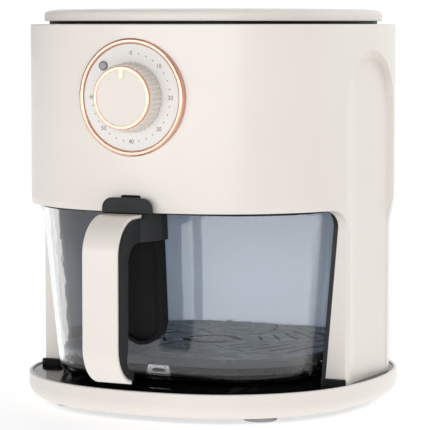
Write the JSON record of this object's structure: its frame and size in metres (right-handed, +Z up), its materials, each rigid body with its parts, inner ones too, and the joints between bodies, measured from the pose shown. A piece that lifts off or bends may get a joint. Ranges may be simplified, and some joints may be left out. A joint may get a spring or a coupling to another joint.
{
  "type": "air fryer",
  "caption": "Countertop air fryer with a rounded square body, a front timer dial, and a clear glass pot on a slide-out handle that holds a lift-out crisper plate.",
  "frame": {"origin": "on the table, at the bottom centre of the whole outline with the handle; the body's own vertical axis is 22.85 mm further back, at y = 0.02285", "axes": "+Z up; -Y is the front, where the dial and the pot's handle are; +X is the right side as seen from the front"},
  "size_m": [0.28, 0.3258, 0.305],
  "materials": {
    "cream_casing": "satin cream moulding",
    "black_gloss": "mirror black",
    "pale_panel": "smooth pale blue grey",
    "black_plastic": "fine matt black",
    "handle_grey": "satin charcoal",
    "pot_glass": "clear pressed glass",
    "rose_metal": "polished rose gold anodised",
    "dial_face": "satin pale grey",
    "lens": "smoked grey",
    "nonstick": "grey non-stick coating",
    "steel": "plain",
    "sheet_metal": "mill finish",
    "rubber": "matt",
    "white_plastic": "plain white",
    "tongue_plastic": "plain black"
  },
  "bodies": {
    "housing": {"base_bottom": "black_plastic", "base_deck": "black_gloss", "base_ring": "cream_casing", "base_screws": "steel", "bay_liner_left": "black_gloss", "bay_liner_right": "black_gloss", "bay_rear_panel": "pale_panel", "bottom_frame": "black_plastic", "chamber_liner": "sheet_metal", "cord_gland": "black_plastic", "dial_bezel": "rose_metal", "dial_plate": "dial_face", "exhaust_duct": "sheet_metal", "exhaust_grille": "black_plastic", "fan_motor": "steel", "feet": "rubber", "guide_block_left": "black_plastic", "guide_block_right": "black_plastic", "heat_shield": "sheet_metal", "heater_guard": "steel", "heating_element": "steel", "indicator_lamp": "lens", "indicator_lens": "lens", "intake_grille": "black_plastic", "intake_neck": "black_plastic", "latch_insert": "black_plastic", "microswitch": "black_plastic", "motor_bracket": "sheet_metal", "rear_column": "cream_casing", "slide_rails": "black_plastic", "terminal_block": "black_plastic", "thermal_fuse": "steel", "thermostat": "steel", "timer_bell": "steel", "timer_unit": "black_plastic", "top_cover": "cream_casing", "upper_housing": "cream_casing"},
    "timer_knob": {"knob_skirt": "cream_casing", "knob_ring": "rose_metal", "knob_cap": "cream_casing", "timer_shaft": "steel"},
    "pot": {"glass_pot": "pot_glass", "pot_rim_seal": "rubber", "pot_pads": "rubber", "handle_mount": "black_plastic", "handle_core": "handle_grey", "handle_cover": "cream_casing", "handle_shield": "handle_grey", "handle_screws": "steel", "interlock_tongue": "tongue_plastic"},
    "crisper": {"crisper_plate": "nonstick", "plate_feet": "steel"},
    "rotor": {"fan_shaft": "steel", "convection_fan": "sheet_metal", "cooling_fan": "sheet_metal"},
    "plunger": {"interlock_plunger": "white_plastic"}
  },
  "joints": [
    {"name": "timer_turn", "type": "hinge", "parent": "housing", "child": "timer_knob", "pos_m": [0, -0.11415, 0.2401], "axis": [0, 1, 0], "range_deg": [0, 270]},
    {"name": "pot_slide", "type": "slide", "parent": "housing", "child": "pot", "axis": [0, -1, 0], "range_m": [0, 0.27]},
    {"name": "plate_lift", "type": "slide", "parent": "pot", "child": "crisper", "axis": [0, 0, 1], "range_m": [0, 0.1]},
    {"name": "rotor_spin", "type": "hinge", "parent": "housing", "child": "rotor", "pos_m": [0, 0.02285, 0.23], "axis": [0, 0, 1], "continuous": true},
    {"name": "plunger_travel", "type": "slide", "parent": "housing", "child": "plunger", "axis": [0, -1, 0], "range_m": [0, 0.003]}
  ],
  "couplings": [
    {"joint": "plunger_travel", "follows": "pot_slide", "ratio": 0.011111}
  ]
}
